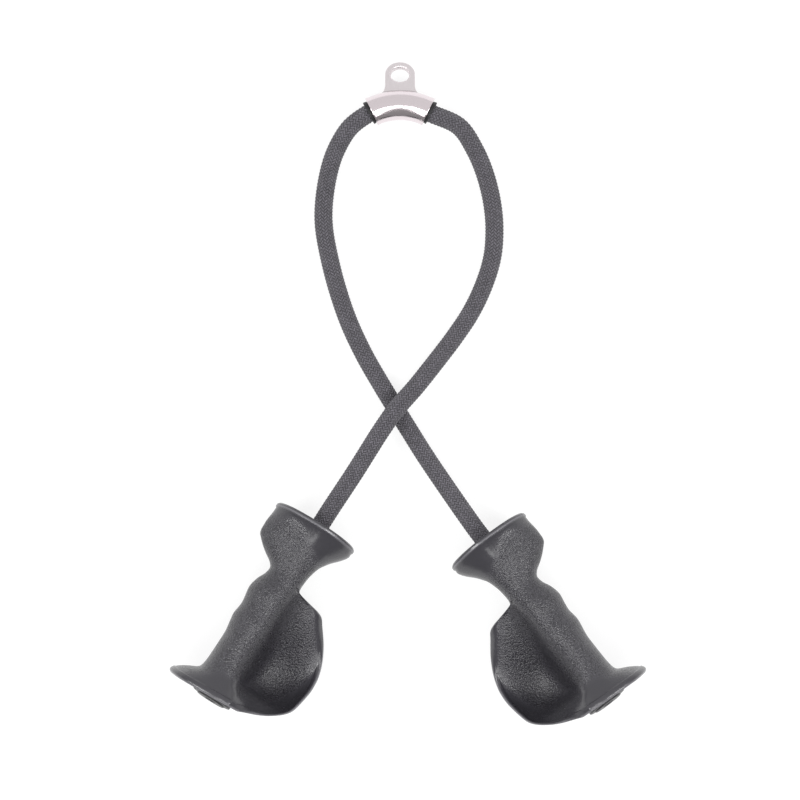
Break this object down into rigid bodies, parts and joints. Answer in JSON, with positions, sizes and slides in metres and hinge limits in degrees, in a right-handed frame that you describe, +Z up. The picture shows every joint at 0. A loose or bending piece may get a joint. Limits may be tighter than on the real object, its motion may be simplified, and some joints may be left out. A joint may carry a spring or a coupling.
{
  "type": "triceps rope attachment",
  "caption": "Braided rope looped through a polished clip collar and crossed, with two hand-shaped black grips that turn on its ends.",
  "frame": {"origin": "middle of the bounding box's base, without the rope, on the ground that the grips and the eye lie on", "axes": "+Y from the grips' open ends towards the clip eye, +X from the left grip to the right grip as seen from above, +Z up"},
  "size_m": [0.3282, 0.4586, 0.079],
  "materials": {
    "braided_rope": "dark charcoal braid, matt",
    "black_urethane": "moulded black with a fine leather grain, satin",
    "polished_steel": "polished",
    "satin_steel": "satin, slightly warm",
    "grey_alloy": "plain",
    "black_rubber": "matt black",
    "black_nylon": "moulded black"
  },
  "bodies": {
    "rope_body": {"rope": "braided_rope", "left_rope_ferrule": "grey_alloy", "right_rope_ferrule": "grey_alloy"},
    "collar_body": {"saddle_collar": "polished_steel", "eye_plate": "satin_steel", "collar_liner": "black_rubber"},
    "left_handle": {"left_grip": "black_urethane", "left_core_sleeve": "grey_alloy", "left_bearing_washer": "polished_steel", "left_end_plug": "black_nylon"},
    "right_handle": {"right_grip": "black_urethane", "right_core_sleeve": "grey_alloy", "right_bearing_washer": "polished_steel", "right_end_plug": "black_nylon"}
  },
  "joints": [
    {"name": "collar_shift", "type": "hinge", "parent": "rope_body", "child": "collar_body", "pos_m": [-0.0055, 0.1526, 0.0206], "axis": [0, 0, 1], "range_deg": [-3, 5]},
    {"name": "left_handle_spin", "type": "hinge", "parent": "rope_body", "child": "left_handle", "pos_m": [-0.0618, -0.0953, 0.0264], "axis": [-0.5245, -0.8328, 0.1771], "continuous": true},
    {"name": "right_handle_spin", "type": "hinge", "parent": "rope_body", "child": "right_handle", "pos_m": [0.0535, -0.1047, 0.0264], "axis": [0.5964, -0.7829, 0.1771], "continuous": true}
  ]
}
